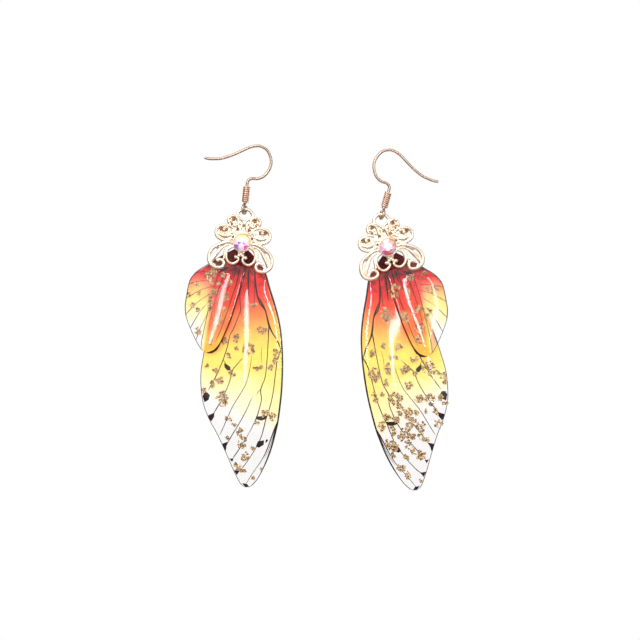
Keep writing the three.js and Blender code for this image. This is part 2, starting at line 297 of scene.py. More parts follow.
def gold_leaf(name):
    """Crumpled imitation gold leaf, with painted shade in its creases."""
    f = Finish(name)
    where = f.object_spot()
    crumple_and_crease_shade = f.noise(where, 2800, 3, 0.6)
    tone = f.noise(where, 700, 2)
    light = f.mixed(tone.rise(0.35, 0.65), (0.60, 0.38, 0.15), (0.92, 0.67, 0.35))
    # Painted shade: the leaf turns deep brown in its creases.
    colour = f.mixed(crumple_and_crease_shade.rise(0.42, 0.54), (0.15, 0.065, 0.02), light)
    return f.principled({
        "Base Color": colour,
        "Metallic": 0.5,
        "Roughness": 0.32 + 0.3 * tone,
        "Normal": f.bump(crumple_and_crease_shade, 0.6, 0.00008),
    })


def coated_crystal(name):
    """Crystal with a rainbow coating: each facet keeps the tint it was given, the coating's colour with
    painted reflections and glints.
    """
    f = Finish(name)
    tint = f.add("ShaderNodeAttribute", {"attribute_name": "facet_tint"}, output="Color")
    # Whitish streaks over the facets: painted sheen.
    streak = f.noise(f.object_spot(), 900, 1)
    colour = f.mixed(streak.rise(0.45, 0.7) * 0.35, tint, (1.0, 0.9, 0.95))
    return f.principled({
        "Base Color": colour,
        "Metallic": 0.1,
        "Roughness": 0.04 + 0.05 * streak,
        # The stone glows a little: painted light that brightens its facets.
        "Emission Color": colour,
        "Emission Strength": 0.3,
        "Coat Weight": 0.35,
    })


def clear_glue(name):
    f = Finish(name)
    cloud = f.noise(f.object_spot(), 700, 3)
    return f.principled({
        # Dark red: the film seen through the clear glue, with painted shade where the pads lie behind the
        # cap.
        "Base Color": f.mixed(cloud, (0.16, 0.015, 0.012), (0.4, 0.05, 0.03)),
        "Roughness": 0.25 + 0.2 * cloud,
        "Alpha": 0.25 + 0.2 * cloud,
    })


ROSE_GOLD = polished_metal("rose_gold_coil", (1.0, 0.77, 0.60), (0.94, 0.63, 0.47), 0.3, 60, 0.004)
WIRE_GOLD = polished_metal("rose_gold_wire", (0.76, 0.57, 0.45), (0.52, 0.37, 0.28), 0.3, 60, 0.004)
# The cap's casting carries painted shade, dark brown, on its sides and low places.
PALE_GOLD = polished_metal("pale_gold_casting", (1.0, 0.87, 0.71), (1.0, 0.77, 0.57), 0.24, 150, 0.08,
                          (0.25, 0.115, 0.055))
FOREWING_TINTS = printed_film(
    "forewing_print",
    [(8, SHADED_RED), (11.5, SHADED_RED), (13.8, DEEP_RED), (16.5, RED), (20, RED), (24, FLAME),
     (28.5, ORANGE), (32.5, AMBER), (36, YELLOW), (39.5, YELLOW), (44, LEMON), (52, CLEAR)],
    8, 72, forewing_slant,
    [(8, 0.93), (26, 0.88), (35, 0.82), (41, 0.72), (46.5, 0.5), (50, 0.2), (53, 0.05)],
)
HINDWING_TINTS = printed_film(
    "hindwing_print",
    [(8, SHADED_RED), (12, SHADED_RED), (13.5, DEEP_RED), (15.2, RED), (16.8, RED), (18.5, FLAME),
     (20, ORANGE), (21.5, AMBER), (24, YELLOW), (28, LEMON), (31.5, CLEAR)],
    8, 38, hindwing_slant,
    [(8, 0.92), (16.5, 0.84), (18.5, 0.68), (21.5, 0.6), (25.5, 0.56), (29, 0.25), (33, 0.05)],
)
RESIN = clear_resin("clear_resin", 0.06)
BONDED = bonded_face("bonded_resin_face")
INK = printing_ink("black_ink")
LEAF = gold_leaf("gold_leaf")
CRYSTAL = coated_crystal("coated_crystal")
GLUE = clear_glue("clear_glue")


# ---- Modelling helpers ---------------------------------------------------------------------------
def deselect_all():
    bpy.ops.object.select_all(action="DESELECT")


def pick(*pieces):
    """Selects these pieces only, with the first one active."""
    deselect_all()
    for piece in pieces:
        piece.select_set(True)
    bpy.context.view_layer.objects.active = pieces[0]


def placed():
    """The piece just added, with its place, turn and size applied."""
    bpy.ops.object.transform_apply(location=True, rotation=True, scale=True)
    return bpy.context.object


@contextlib.contextmanager
def edit_mode():
    bpy.ops.object.mode_set(mode="EDIT")
    yield
    bpy.ops.object.mode_set(mode="OBJECT")


def pick_front_faces(piece, slope):
    """Selects only the faces that look forwards."""
    with edit_mode():
        bpy.ops.mesh.select_mode(type="FACE")
        bpy.ops.mesh.select_all(action="DESELECT")
    for face in piece.data.polygons:
        face.select = face.normal.y < -slope


def smooth_line(points, steps):
    """Places evenly spaced along a smooth line through points; what follows X and Z in a point is
    eased along with them."""
    given = np.array(points, float)
    padded = np.vstack([given[:1], given, given[-1:]])
    fine = []
    for before, a, b, after in zip(padded, padded[1:], padded[2:], padded[3:]):
        for t in np.linspace(0, 1, 16, endpoint=False):
            leave, arrive = (b - before) / 2, (after - a) / 2
            cubic, square = 2 * a - 2 * b + leave + arrive, 3 * b - 3 * a - 2 * leave - arrive
            fine.append(cubic * t**3 + square * t**2 + leave * t + a)
    fine = np.array([*fine, given[-1]])
    run = np.concatenate([[0], np.cumsum(np.linalg.norm(np.diff(fine[:, :2], axis=0), axis=1))])
    at = np.linspace(0, run[-1], steps + 1)
    return np.column_stack([np.interp(at, run, fine[:, k]) for k in range(fine.shape[1])])


def spiral(x, down, from_r, to_r, from_angle, to_angle, count, width):
    """Points round a centre; angles in degrees from +X, rising upwards."""
    turns = np.linspace(math.radians(from_angle), math.radians(to_angle), count + 1)
    radii = np.linspace(from_r, to_r, count + 1)
    return [(x + r * math.cos(t), down - r * math.sin(t), width) for r, t in zip(radii, turns)]


def bars(name, strokes, sides=8, closed=False):
    """Round bars along strokes of (x, y, z, radius), as one mesh."""
    deselect_all()
    bpy.ops.curve.primitive_nurbs_path_add()
    path = bpy.context.object
    path.name = name
    curve = path.data
    curve.splines.clear()
    for stroke in strokes:
        spline = curve.splines.new("POLY")
        spline.points.add(len(stroke) - 1)
        for point, (x, y, z, radius) in zip(spline.points, stroke):
            point.co = (x, y, z, 1)
            point.radius = radius
        spline.use_cyclic_u = closed
    curve.dimensions = "3D"
    curve.bevel_depth = 1.0
    curve.bevel_resolution = sides // 2 - 2
    curve.use_fill_caps = not closed
    bpy.ops.object.convert(target="MESH")
    return bpy.context.object


def flat_strokes(strokes, step=0.4, taper=0.0):
    """Strokes of (x, down, width) as smooth runs of (x, 0, z, half width). Their ends grow thinner over
    the length taper."""
    smooth = []
    for stroke in strokes:
        reach = sum(math.dist(a[:2], b[:2]) for a, b in zip(stroke, stroke[1:]))
        steps = max(2, round(reach / step))
        shares = [1.0] * (steps + 1)
        if taper:
            shares = [min(1.0, 0.3 + 0.7 * min(n, steps - n) * step / taper) for n in range(steps + 1)]
        smooth.append([(x, 0, -down, share * width / 2)
                       for (x, down, width), share in zip(smooth_line(stroke, steps), shares)])
    return smooth


def squeezed(piece, depth, centre):
    """Round bars drawn at depth 0, made depth times as deep and set at the depth centre."""
    piece.data.transform(Matrix.Translation((0, centre, 0)) @ Matrix.Diagonal((1, depth, 1, 1)))
    return piece


def joined(name, pieces):
    pick(*pieces)
    if len(pieces) > 1:
        bpy.ops.object.join()
    pieces[0].name = name
    return pieces[0]


def applied(piece, kind, **settings):
    """A modifier, set and applied."""
    pick(piece)
    modifier = piece.modifiers.new(kind.lower(), kind)
    for name, setting in settings.items():
        setattr(modifier, name, setting)
    bpy.ops.object.modifier_apply(modifier=modifier.name)


def shaded_smooth(piece, angle):
    """Smooth shading, but for edges sharper than angle."""
    pick(piece)
    bpy.ops.object.shade_smooth_by_angle(angle=math.radians(angle))


def outward(piece):
    """Doubles merged and every face turned outwards."""
    pick(piece)
    with edit_mode():
        bpy.ops.mesh.select_all(action="SELECT")
        bpy.ops.mesh.remove_doubles(threshold=0.0005)
        bpy.ops.mesh.normals_make_consistent(inside=False)
    return piece


class Pendant:
    """Where one pendant hangs, read from the frame, and which way it is handed."""

    def __init__(self, prefix, side):
        self.prefix, self.side = prefix, side
        self.body = f"{prefix}_pendant"
        stone, pad = self.middle("bezel_cup"), self.middle("wing_glue_pad")
        drop = pad - stone
        drawn = math.atan2(-side * PAD_ASIDE, -(ROOT_DROP + PAD_DROP - STONE_DROP))
        lean = drawn - math.atan2(drop.x, drop.z)
        self.turn = Matrix.Rotation(-lean, 4, "Y")
        arch = Vector((stone.x, 0, stone.z)) - self.turn @ Vector((0, 0, -STONE_DROP))
        self.place = (Matrix.Scale(MM, 4) @ Matrix.Translation(arch) @ self.turn
                      @ Matrix.Diagonal((side, 1, 1, 1)))
        centre = Matrix.Translation((0, 0, -ROOT_DROP - PAD_DROP))
        self.splay = centre @ Matrix.Rotation(math.radians(side * HIND_SPLAY), 4, "Y") @ centre.inverted()

    def middle(self, node):
        low, high = solid_box(f"{self.prefix}_{node}")
        return (low + high) / 2

    def layer(self, node):
        """Front and back of a node, in millimetres of depth."""
        low, high = solid_box(f"{self.prefix}_{node}")
        return low.y, high.y

    def set_down(self, piece, material, slot, replaces=(), splayed=False):
        """Gives a drawn piece its finish, its place and its body, and hides the frame's parts that it takes
        the place of.
        """
        mesh = piece.data
        drawn = mesh.attributes.new("drawn", "FLOAT_VECTOR", "POINT")
        places = np.zeros(len(mesh.vertices) * 3, np.float32)
        mesh.vertices.foreach_get("co", places)
        drawn.data.foreach_set("vector", places)
        mesh.transform(self.place @ self.splay if splayed else self.place)
        if self.side < 0:
            mesh.flip_normals()
        if not mesh.materials:
            mesh.materials.append(material)
        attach(piece, self.body)
        if replaces:
            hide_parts(*[f"{self.prefix}_{node}" for node in replaces])


# ---- Wings ---------------------------------------------------------------------------------------
# Edges run from root tab to tip as (x, share of the wing's length below the top of the tab).
FOREWING = {
    "length": 62.4,
    "trailing": [(-1.4, 0), (-2.9, 0.085), (-4.1, 0.15), (-5.5, 0.25), (-6.3, 0.295), (-6.8, 0.38),
                 (-7.2, 0.47), (-7.35, 0.535), (-6.9, 0.597), (-5.9, 0.663), (-3.9, 0.727), (-1.5, 0.783),
                 (0.2, 0.827), (2.4, 0.888), (4.1, 0.936), (6.1, 0.984), (7.4, 0.998)],
    "leading": [(1.8, 0), (4.6, 0.04), (6.9, 0.085), (8.6, 0.15), (10.35, 0.215), (11.85, 0.28),
                (12.9, 0.343), (13.9, 0.44), (14.55, 0.567), (14.5, 0.695), (14.1, 0.758), (13.45, 0.823),
                (12.4, 0.888), (10.9, 0.952), (9.6, 0.984), (8.6, 0.999)],
}
HINDWING = {
    "length": 28.4,
    "trailing": [(-1.8, 0), (-5.2, 0.09), (-8.5, 0.19), (-10.7, 0.26), (-12, 0.33), (-12.45, 0.4),
                 (-12.5, 0.54), (-12.4, 0.61), (-11.5, 0.715), (-9.1, 0.855), (-6.8, 0.96), (-5.3, 0.995)],
    "leading": [(1.2, 0), (1.9, 0.1), (1.8, 0.19), (1.3, 0.365), (0.8, 0.505), (0.3, 0.63), (-0.3, 0.735),
                (-1.5, 0.89), (-2.9, 0.972), (-4.1, 1)],
}


def edge_line(wing, edge, steps=200):
    """One edge of a wing as (x, down) places."""
    points = [(x, ROOT_DROP + share * wing["length"]) for x, share in wing[edge]]
    return smooth_line(points, steps)


def wing_sheet(name, wing, across, along, bare, front, back):
    """A closed layer of a wing: a grid drawn between the two edges and extruded to its thickness.
    front(side, run) gives the depth of the front face, and back is the depth of the flat back."""
    deselect_all()
    bpy.ops.mesh.primitive_grid_add(x_subdivisions=across, y_subdivisions=along, size=1)
    sheet = bpy.context.object
    sheet.name = name
    trailing, leading = edge_line(wing, "trailing"), edge_line(wing, "leading")
    start = bare / wing["length"]
    shares = []
    for vertex in sheet.data.vertices:
        side, run = vertex.co.x + 0.5, 0.5 - vertex.co.y
        at = (start + (1 - start) * run) * (len(trailing) - 1)
        low = min(int(at), len(trailing) - 2)
        ends = [line[low] + (line[low + 1] - line[low]) * (at - low) for line in (trailing, leading)]
        x, down = ends[0] + (ends[1] - ends[0]) * side
        vertex.co = (x, back, -down)
        shares.append((side, run))
    with edit_mode():
        bpy.ops.mesh.select_all(action="SELECT")
        bpy.ops.mesh.extrude_region_move(TRANSFORM_OT_translate={"value": (0, -1, 0)})
    front_face = [v for v in sheet.data.vertices if v.co.y < back - 0.5]
    lookup = {(round(v.co.x, 4), round(v.co.z, 4)): s for v, s in zip(sheet.data.vertices, shares)}
    for vertex in front_face:
        vertex.co.y = front(*lookup[round(vertex.co.x, 4), round(vertex.co.z, 4)])
    return outward(sheet)


def dome(film_front, crown, seed):
    """Resin that climbs from a thin rim and lies full, with long shallow swells, over the wing."""
    rng = random.Random(seed)
    swells = [(rng.uniform(1.2, 3.2), rng.uniform(0.4, 1.6), rng.uniform(0, 6.28)) for _ in range(4)]

    def front(side, run):
        """The front face's depth, from 0 to 1 across the wing and 0 to 1 along it."""
        climb = math.sin(math.pi * min(max(side, 0), 1)) ** 0.6
        ends = min(1.0, math.sin(math.pi * run) * 2.6) ** 0.8 if 0 < run < 1 else 0.0
        swell = sum(math.sin(6.28 * (a * side * 0.5 + b * run) + c) for a, b, c in swells) / 4
        return film_front - RIM_COAT - (crown - RIM_COAT) * climb * ends * (0.9 + 0.1 * swell)

    return front


def resin_faces(coat, way):
    """Resin, but for the flat face on the film, which is bonded and doesn't shine. That face looks
    backwards for way 1 and forwards for way -1."""
    coat.data.materials.append(RESIN)
    coat.data.materials.append(BONDED)
    for face in coat.data.polygons:
        face.material_index = int(face.normal.y * way > 0.9)
    shaded_smooth(coat, 40)


def film_sheet(pendant, name, wing, tints, splayed):
    """The printed film, with its bare root tab."""
    front, back = pendant.layer(f"{name}_film")
    sheet = wing_sheet(f"{pendant.prefix}_{name}_sheet", wing, 14, 90, 0, lambda side, run: front, back)
    shaded_smooth(sheet, 40)
    pendant.set_down(sheet, tints, "printed_film", [f"{name}_film"], splayed)


def front_coat(pendant, name, wing, crown, seed, splayed):
    """The domed coat in front of a film."""
    film_front = pendant.layer(f"{name}_film")[0]
    coat = wing_sheet(f"{pendant.prefix}_{name}_dome", wing, 30, 100, BARE_TAB,
                      dome(film_front, crown, seed), film_front - BOND)
    resin_faces(coat, 1)
    pendant.set_down(coat, RESIN, "clear_resin", [f"{name}_front_resin"], splayed)


def back_coat(pendant, name, wing, splayed):
    """The thin flat coat behind a film."""
    front, back = pendant.layer(f"{name}_back_resin")
    coat = wing_sheet(f"{pendant.prefix}_{name}_back_coat", wing, 14, 90, BARE_TAB,
                      lambda side, run: front + BOND, back)
    resin_faces(coat, -1)
    pendant.set_down(coat, RESIN, "clear_resin", [f"{name}_back_resin"], splayed)


# ---- Printed veins and marks ---------------------------------------------------------------------
# Strokes are (x, down, width). The forewing's veins, from the root towards the tip:
FOREWING_VEINS = [
    [(3.9, 13, 0.4), (4.2, 15.3, 0.45), (4.9, 18.6, 0.5), (5.5, 20.6, 0.38), (6.4, 22.4, 0.42),
     (7.9, 24, 0.35), (9.2, 27.5, 0.6), (10.4, 29.6, 0.4), (11.7, 31.2, 0.35), (13.1, 33.6, 0.5)],
    [(9.2, 27.7, 0.5), (9.45, 31.3, 0.28), (9.7, 36.3, 0.25), (9.7, 41.3, 0.25), (8.9, 44.7, 0.3),
     (9.35, 47.2, 0.25), (9.1, 49.5, 0.25), (8.5, 52.5, 0.3), (6.9, 56.8, 0.16), (5, 60.8, 0.26),
     (3.3, 63.9, 0.3)],
    [(13.2, 33.4, 0.5), (12.4, 37, 0.28), (12.25, 44.7, 0.26), (11.8, 49, 0.26), (11.1, 52.3, 0.3),
     (10.3, 57.3, 0.26), (8.6, 61.6, 0.22), (6.4, 65.6, 0.24), (5, 67, 0.4)],
    [(14.1, 52.8, 0.3), (13.3, 55.9, 0.36), (12.2, 60.4, 0.3), (11, 63.5, 0.2), (9.3, 66.6, 0.16),
     (7.6, 70, 0.22)],
    [(13.9, 54, 0.2), (13.4, 57.2, 0.2), (12.7, 60.2, 0.16), (11.6, 63.2, 0.1)],
    [(1.6, 23.5, 0.2), (0.9, 26.5, 0.22), (0, 29.7, 0.28), (-0.7, 31.4, 0.24), (-1.1, 34.7, 0.26),
     (-1.8, 37.9, 0.28), (-2.6, 40.6, 0.26), (-3.5, 43.2, 0.26), (-4.9, 46.5, 0.3)],
    [(-1.8, 38, 0.24), (-1.2, 38.7, 0.3), (-0.6, 39.6, 0.45)],
    [(3.6, 36.4, 0.16), (2, 38.8, 0.24), (1, 40.4, 0.26), (0.5, 43.5, 0.24), (-0.4, 46.6, 0.24),
     (-1.7, 49.9, 0.26), (-2.9, 52.5, 0.34)],
    [(1, 40.4, 0.22), (0.4, 40.5, 0.3), (-0.1, 40.2, 0.4)],
    [(5.6, 36, 0.14), (5.4, 40.4, 0.18), (4.8, 43.8, 0.2), (3.7, 46.4, 0.2), (1.8, 50.5, 0.22),
     (0.1, 55.8, 0.2), (-0.6, 57.8, 0.3)],
    [(7, 46.5, 0.12), (5.8, 50.3, 0.22), (4.2, 54.2, 0.24), (2.6, 57.6, 0.26), (1.6, 59.9, 0.32)],
    [(2.4, 13.4, 0.4), (2.5, 15.2, 0.62), (2.7, 17.6, 0.5), (3.2, 20.9, 0.16)],
    [(4.2, 15, 0.2), (4.4, 18.5, 0.2), (4.7, 21.5, 0.16), (4.4, 24, 0.1)],
    [(0.5, 13.5, 0.5), (0.9, 16, 0.35), (0.7, 20, 0.22), (1.4, 24.4, 0.2), (1.8, 26.5, 0.1)],
    [(5.5, 20.2, 0.3), (7.2, 22.7, 0.5), (8.3, 24.4, 0.3)],
    [(13.1, 33.2, 0.5), (13.5, 34.6, 0.55), (13.8, 35.6, 0.4)],
    [(8, 33, 0.1), (8.1, 36, 0.14), (8.5, 38, 0.08)],
    [(8.9, 44.6, 0.26), (8.2, 45.6, 0.24), (7.9, 46.4, 0.16)],
]
# Solid marks of the forewing, each a ring of (x, down) corners:
FOREWING_MARKS = [
    [(-5, 47), (-4.3, 47.7), (-4.5, 48.9), (-5.5, 49.7), (-6.2, 48.2), (-5.9, 47.2)],
    [(-2.6, 52.1), (-2.6, 53.3), (-3.2, 54.5), (-3.9, 53.9), (-4.3, 53.1)],
    [(1.9, 59.3), (1.5, 60.5), (1.4, 61.9), (0.9, 61.2), (0.2, 60.1)],
    [(3.7, 63.7), (3.4, 64.6), (2.6, 63.7)],
    [(5.7, 66.6), (5, 67.9), (4.1, 66.7)],
    [(6.6, 69.9), (7.9, 69.9), (8.6, 70.6), (7.6, 70.85)],
    [(-1.5, 38.9), (-0.7, 39.1), (0.3, 39.7), (0.4, 40.5), (-0.4, 40.7), (-1.2, 40)],
    [(8.4, 52), (11.4, 51.4), (11.2, 52.3), (9.9, 52.9), (8.6, 52.7)],
    [(9.6, 58.4), (11.2, 58), (11.2, 59.2), (10, 60.1), (9.2, 59.8)],
    [(11.8, 57.6), (12.3, 57.8), (11.8, 58.6), (11.5, 58.4)],
]
# Veins from the hindwing's middle to its outer edge: where each starts, and its share of the edge
FAN_VEINS = [((-7.2, 15.6), 0.36), ((-6.3, 18), 0.45), ((-5.6, 19.2), 0.56), ((-6.3, 21.4), 0.68),
             ((-6.5, 23.6), 0.79), ((-6.2, 26.8), 0.89), ((-6.6, 33), 0.965)]
HINDWING_VEINS = [
    [(-2.2, 13.6, 0.5), (-4, 14.6, 0.6), (-4.9, 15.6, 0.35), (-5.3, 17.4, 0.22), (-5.6, 19.2, 0.25)],
    [(-3, 13.6, 0.3), (-3.8, 17, 0.28), (-4.5, 21, 0.2), (-5, 25, 0.14), (-5.4, 30, 0.12)],
    [(-1.2, 12.6, 0.4), (-1.5, 16, 0.3), (-2.3, 21, 0.22), (-3.1, 26, 0.2), (-3.9, 31, 0.16)],
    [(0.3, 12.6, 0.45), (0.1, 17, 0.32), (-0.5, 21, 0.25), (-1.2, 25.5, 0.22), (-2, 30, 0.2),
     (-3, 34, 0.16)],
    [(-0.6, 12.6, 0.6), (-0.8, 14.8, 0.4), (-1.2, 17.5, 0.1)],
    [(-5.6, 19.2, 0.3), (-5.9, 22, 0.22), (-6.2, 26, 0.2), (-6.4, 30, 0.18), (-6.6, 34.6, 0.24)],
]
HINDWING_MARKS = [
    [(-3.3, 36.8), (-2.2, 35.8), (-1.6, 34.4), (-2, 34.8), (-2.9, 35.8), (-4.2, 36.6), (-5, 36.9),
     (-4.2, 37)],
    [(-5, 14.4), (-4.2, 14), (-3.3, 14), (-3.1, 14.4), (-3.8, 14.8), (-4.4, 15.2)],
]


def margin(wing, edge, inset, width):
    """The printed border that follows an edge: inset millimetres inside it, width(share) wide."""
    line = edge_line(wing, edge, 60)
    slope = np.gradient(line, axis=0)
    inward = np.column_stack([slope[:, 1], -slope[:, 0]]) / np.linalg.norm(slope, axis=1)[:, None]
    sign = 1 if edge == "trailing" else -1
    shares = np.linspace(0, 1, len(line))
    return [(x, down, width(share)) for (x, down), share in
            zip(line + sign * inset * inward, shares) if share > 0.06]


def fan(wing):
    """Veins that leave the hindwing's middle and end on its outer edge."""
    edge = edge_line(wing, "trailing")
    strokes = []
    for (x, down), share in FAN_VEINS:
        end = edge[round(share * (len(edge) - 1))]
        bow = 0.06 * math.dist((x, down), end)
        middle = ((x + end[0]) / 2 - bow * 0.3, (down + end[1]) / 2 - bow)
        strokes.append([(x, down, 0.16), (*middle, 0.14), (*end, 0.28)])
    return strokes


def plates(name, rings, y, depth=INK_DEPTH):
    """Flat solid shapes, each a filled ring extruded forwards from y."""
    made = []
    for ring in rings:
        deselect_all()
        bpy.ops.mesh.primitive_circle_add(vertices=len(ring), radius=1, fill_type="NGON")
        mark = bpy.context.object
        for vertex, (x, down) in zip(mark.data.vertices, ring):
            vertex.co = (x, y, -down)
        with edit_mode():
            bpy.ops.mesh.select_all(action="SELECT")
            bpy.ops.mesh.extrude_region_move(TRANSFORM_OT_translate={"value": (0, -depth, 0)})
            bpy.ops.mesh.normals_make_consistent(inside=False)
        made.append(mark)
    return joined(name, made)


def printed_lines(pendant, name, strokes, marks, splayed):
    """Veins, border and marks, printed on both faces of a film."""
    front, back = pendant.layer(f"{name}_film")
    widest = max(width for stroke in strokes for _, _, width in stroke)
    printed = []
    for middle, behind in ((front - INK_DEPTH, front - BOND), (back + INK_DEPTH, back + BOND + INK_DEPTH)):
        lines = bars("lines", flat_strokes(strokes, 0.4, 1.4), 6)
        printed += [squeezed(lines, INK_DEPTH / widest, middle), plates("marks", marks, behind)]
    veins = joined(f"{pendant.prefix}_{name}_veins", printed)
    shaded_smooth(veins, 40)
    pendant.set_down(veins, INK, "black_ink", (), splayed)


# ---- Gold leaf -----------------------------------------------------------------------------------
# Flakes are (x, down, width, height), in the frame of the wing they lie in.
FOREWING_LEAF = {
    "left": [(7.5, 29.3, 2.6, 2.4), (4.5, 34.5, 3.4, 3.2), (1.2, 32, 1.8, 2.2), (1.5, 34.8, 1.2, 1.2),
             (-0.4, 36.7, 1.3, 1.6), (-2, 33, 1.4, 2), (11.8, 34.5, 1.8, 2.6), (12, 37, 1.5, 2),
             (11, 38.8, 1.6, 1.3), (-5.7, 39.8, 0.9, 0.9), (-3.5, 41, 1.6, 1.2), (-2, 43.3, 2, 1.8),
             (-4, 44.6, 1.2, 1.6), (0.8, 41.5, 1.6, 1.6), (-5.9, 46.5, 1, 1.4), (-1, 48.3, 3, 4),
             (10.5, 50.8, 2.6, 1.8), (12.8, 51.5, 1.4, 2.4), (1.2, 53.2, 1.7, 1.5), (2.8, 54.7, 1.1, 0.7),
             (4.7, 56.5, 1.9, 2.4), (5.6, 59.2, 2.6, 3.2), (1.6, 58.4, 0.7, 0.7), (6.7, 62.8, 1.9, 3),
             (4.9, 65.3, 1.5, 1.7), (6.4, 66.4, 1.4, 1), (8.4, 60.4, 0.9, 1), (11.4, 65.6, 0.7, 0.8),
             (9.4, 68, 1, 0.9), (8.3, 38.8, 0.9, 0.9), (7.1, 39.4, 1, 1.1), (8.7, 53.7, 0.8, 0.6),
             (4.8, 22.8, 2, 1), (3.4, 28, 0.9, 0.9)],
    "right": [(4.5, 24, 3, 4.6), (3.3, 33, 2.4, 1.8), (7, 31.8, 1.2, 1.4), (5.6, 35.6, 2.6, 1.6),
              (10.3, 33, 1.6, 2), (7.3, 38, 1.6, 3), (3.2, 39.2, 2.4, 2.2), (-2.8, 40, 3.4, 4.2),
              (0, 37, 2.4, 1.4), (11.3, 38.8, 3, 4.2), (12.6, 44.5, 1.4, 3), (10.7, 44.2, 1.2, 1),
              (3.1, 43.5, 2, 2.2), (-6.3, 43.5, 1.5, 3.4), (-4.8, 42, 1.6, 1.4), (7.6, 46, 3, 3.6),
              (1.4, 47.5, 2.2, 2.6), (-1.4, 48.4, 2.4, 3.2), (-4.2, 48.6, 1.8, 1.6), (-5.1, 50.4, 1.4, 1.5),
              (5, 50.5, 3, 3), (6.9, 49.2, 2.2, 3), (5.2, 53.6, 2.6, 3), (2.6, 54.8, 2.6, 2.8),
              (3.2, 57.4, 1.8, 2.2), (7, 55.6, 2.6, 3), (7.1, 58.4, 1.8, 2.8), (-2, 55.3, 2, 2.4),
              (10.7, 50, 2.4, 1.6), (10.1, 54.5, 1.4, 3.4), (10.9, 58.2, 2.6, 3.4), (12.6, 52.2, 1.8, 2.8),
              (12.3, 57, 1, 2.4), (4.6, 62, 2.4, 2.8), (10.2, 64.2, 2.2, 2), (9, 66.5, 1.5, 2.2),
              (6, 68.7, 0.8, 0.8), (1.8, 58.4, 1.2, 1.2), (-1.9, 52, 1.4, 1.8), (0.6, 41, 1.4, 1.4),
              (8.9, 41.5, 1.2, 1.8), (3, 50.9, 1.4, 1.2), (11.6, 60.5, 1, 1.4), (8.6, 51.6, 1.8, 1.8),
              (6.1, 46.2, 1.2, 1.4), (4, 52.6, 1.6, 1.6), (8.4, 56.4, 1.4, 2), (5.4, 56.6, 1.6, 1.8),
              (6.2, 60.4, 1.4, 1.6), (0.3, 51.2, 1, 1.2), (8, 61.8, 1.6, 1.6)],
}
HINDWING_LEAF = {
    "left": [(-7.4, 16.6, 2.8, 2.8), (-7, 18.4, 2, 1.6), (-4.6, 18.7, 1.8, 1), (-5.4, 20.6, 1.2, 1.8),
             (-5.9, 23.6, 1.2, 2), (-10.3, 19.4, 1.4, 0.9), (-11.8, 22.4, 1.1, 1.1),
             (-10.5, 25.2, 1.3, 1.4), (-8.9, 26, 1, 0.8), (-3.9, 16, 1.2, 1.4), (-2.6, 25, 1.8, 1.4),
             (-2, 22, 1, 3), (-2.9, 28, 1.7, 3), (-8, 31.8, 1.3, 2.4), (-4.3, 33.3, 1.3, 2.6),
             (-9.3, 21.6, 0.8, 0.8), (-6.4, 15.2, 1.6, 1.2), (-6.2, 21.9, 1, 1.6), (-3.6, 28.4, 1.4, 2.4),
             (-1.6, 17.6, 0.8, 1.2), (-5.6, 25.4, 0.9, 1.2)],
    "right": [(-9.3, 19.6, 3.6, 2), (-5, 24.3, 2.6, 1.8), (0.4, 18.5, 3, 3.4), (-4.2, 29, 2.6, 3),
              (-1, 25.5, 2, 3), (-3.6, 32.2, 2, 2.2), (-8.1, 15.3, 1.4, 0.9), (-2.6, 19.4, 1.6, 2.4),
              (-4.4, 15.6, 2.2, 1.6), (-6.6, 26.4, 1.2, 1.6), (-7.7, 25, 1, 1)],
}
LEAF_CORNERS = 9
SCRAPS_LEAST = 4          # in one flake, and how many more for each square millimetre
SCRAPS_SPREAD = 2.8
SCRAP = 0.31              # radius of one torn scrap
SCRAP_PULL = 0.17         # how far its corners are pulled about


def gold_leaf_flakes(pendant, name, flakes, room, splayed, seed):
    """Each flake is a cluster of torn scraps, small fans whose corners are pulled about. They lie in the
    front resin, up to room in front of the film."""
    rng = random.Random(seed)
    front = pendant.layer(f"{name}_film")[0]
    spots = []
    for x, down, width, height in flakes:
        for _ in range(SCRAPS_LEAST + round(width * height * SCRAPS_SPREAD)):
            turn, reach = rng.uniform(0, 2 * math.pi), math.sqrt(rng.random())
            spots.append((x + reach * math.cos(turn) * width * 0.5, rng.uniform(front - room, front - 0.1),
                          -down + reach * math.sin(turn) * height * 0.5))
    fan_shape = {"vertices": LEAF_CORNERS, "fill_type": "TRIFAN"}
    deselect_all()
    bpy.ops.mesh.primitive_circle_add(radius=SCRAP, location=spots[0], rotation=(math.pi / 2, 0, 0),
                                      **fan_shape)
    leaf = placed()
    leaf.name = f"{pendant.prefix}_{name}_leaf"
    with edit_mode():
        for spot in spots[1:]:
            radius = SCRAP * rng.uniform(0.6, 1.35)
            turn = (math.pi / 2 + rng.uniform(-0.25, 0.25), rng.uniform(-3, 3), 0)
            bpy.ops.mesh.primitive_circle_add(radius=radius, location=spot, rotation=turn, **fan_shape)
    for vertex in leaf.data.vertices:
        pull = Vector((rng.uniform(-1, 1), 0.35 * rng.uniform(-1, 1), rng.uniform(-1, 1)))
        vertex.co += pull * SCRAP_PULL
        vertex.co.y = min(max(vertex.co.y, front - room - 0.05), front - 0.04)
    pendant.set_down(leaf, LEAF, "gold_foil", (), splayed)


